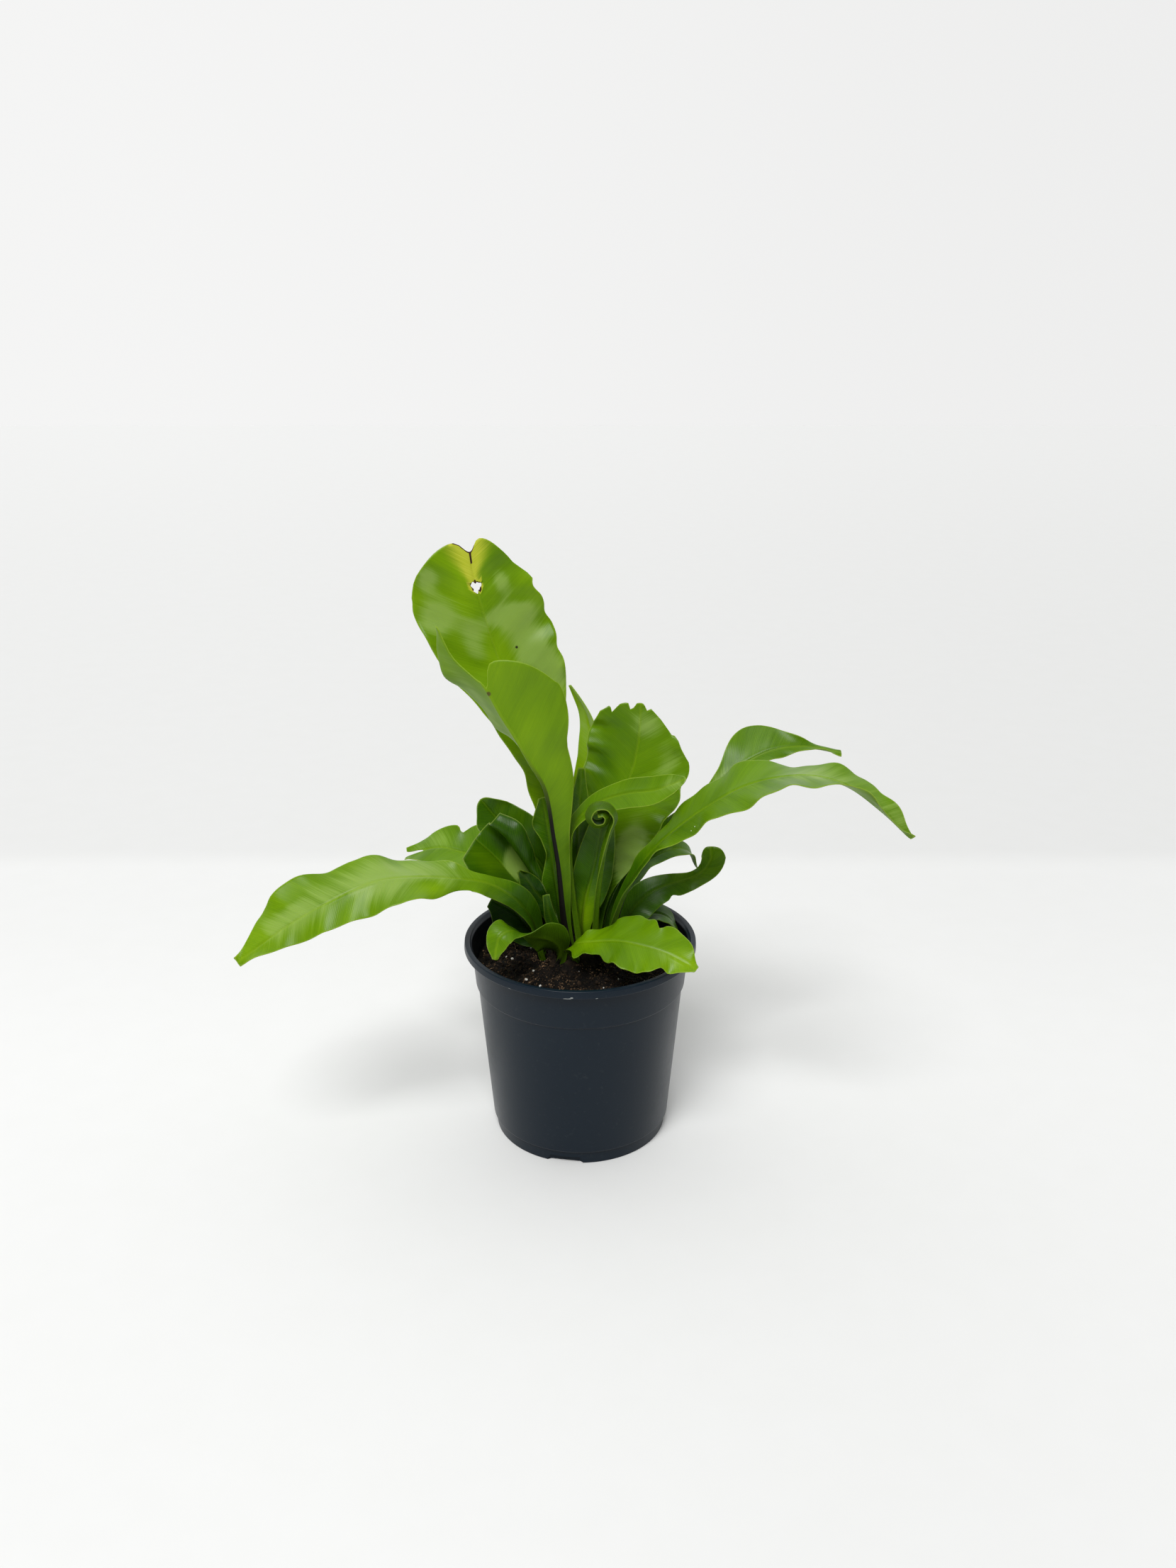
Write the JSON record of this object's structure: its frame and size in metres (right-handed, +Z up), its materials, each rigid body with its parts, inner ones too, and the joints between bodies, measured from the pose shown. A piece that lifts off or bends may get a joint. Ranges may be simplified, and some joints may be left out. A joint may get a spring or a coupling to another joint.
{
  "type": "potted fern",
  "caption": "A fern with broad, waved, strap-like fronds that rise from a short crown in a round plastic nursery pot filled with potting mix.",
  "frame": {"origin": "centre of the pot's underside, on the ground", "axes": "+Z up; the plant's front as pictured faces -Y, with +X to the right"},
  "size_m": [0.3801, 0.145, 0.3565],
  "materials": {
    "pot": "satin, dark charcoal with a blue cast",
    "soil": "matte, coarse dark brown mix",
    "crown": "matte, dark brown and fibrous",
    "frond": "satin, fresh green"
  },
  "bodies": {
    "root": {"pot": "pot", "soil": "soil", "crown": "crown", "frond_tall_back": "frond", "frond_tall_front": "frond", "frond_sliver_back": "frond", "frond_broad_center": "frond", "frond_young_arching": "frond", "frond_right_long": "frond", "frond_right_back": "frond", "frond_right_curled": "frond", "frond_right_arch": "frond", "frond_right_low": "frond", "frond_front_right": "frond", "frond_front_left": "frond", "frond_left_long": "frond", "frond_left_back": "frond", "frond_left_ruffled": "frond", "frond_left_cupped": "frond", "frond_center_wavy": "frond", "frond_left_shaded": "frond", "frond_small_dark": "frond", "frond_small_upright": "frond", "frond_center_shaded": "frond", "frond_center_back": "frond", "frond_crozier": "frond"}
  },
  "joints": []
}
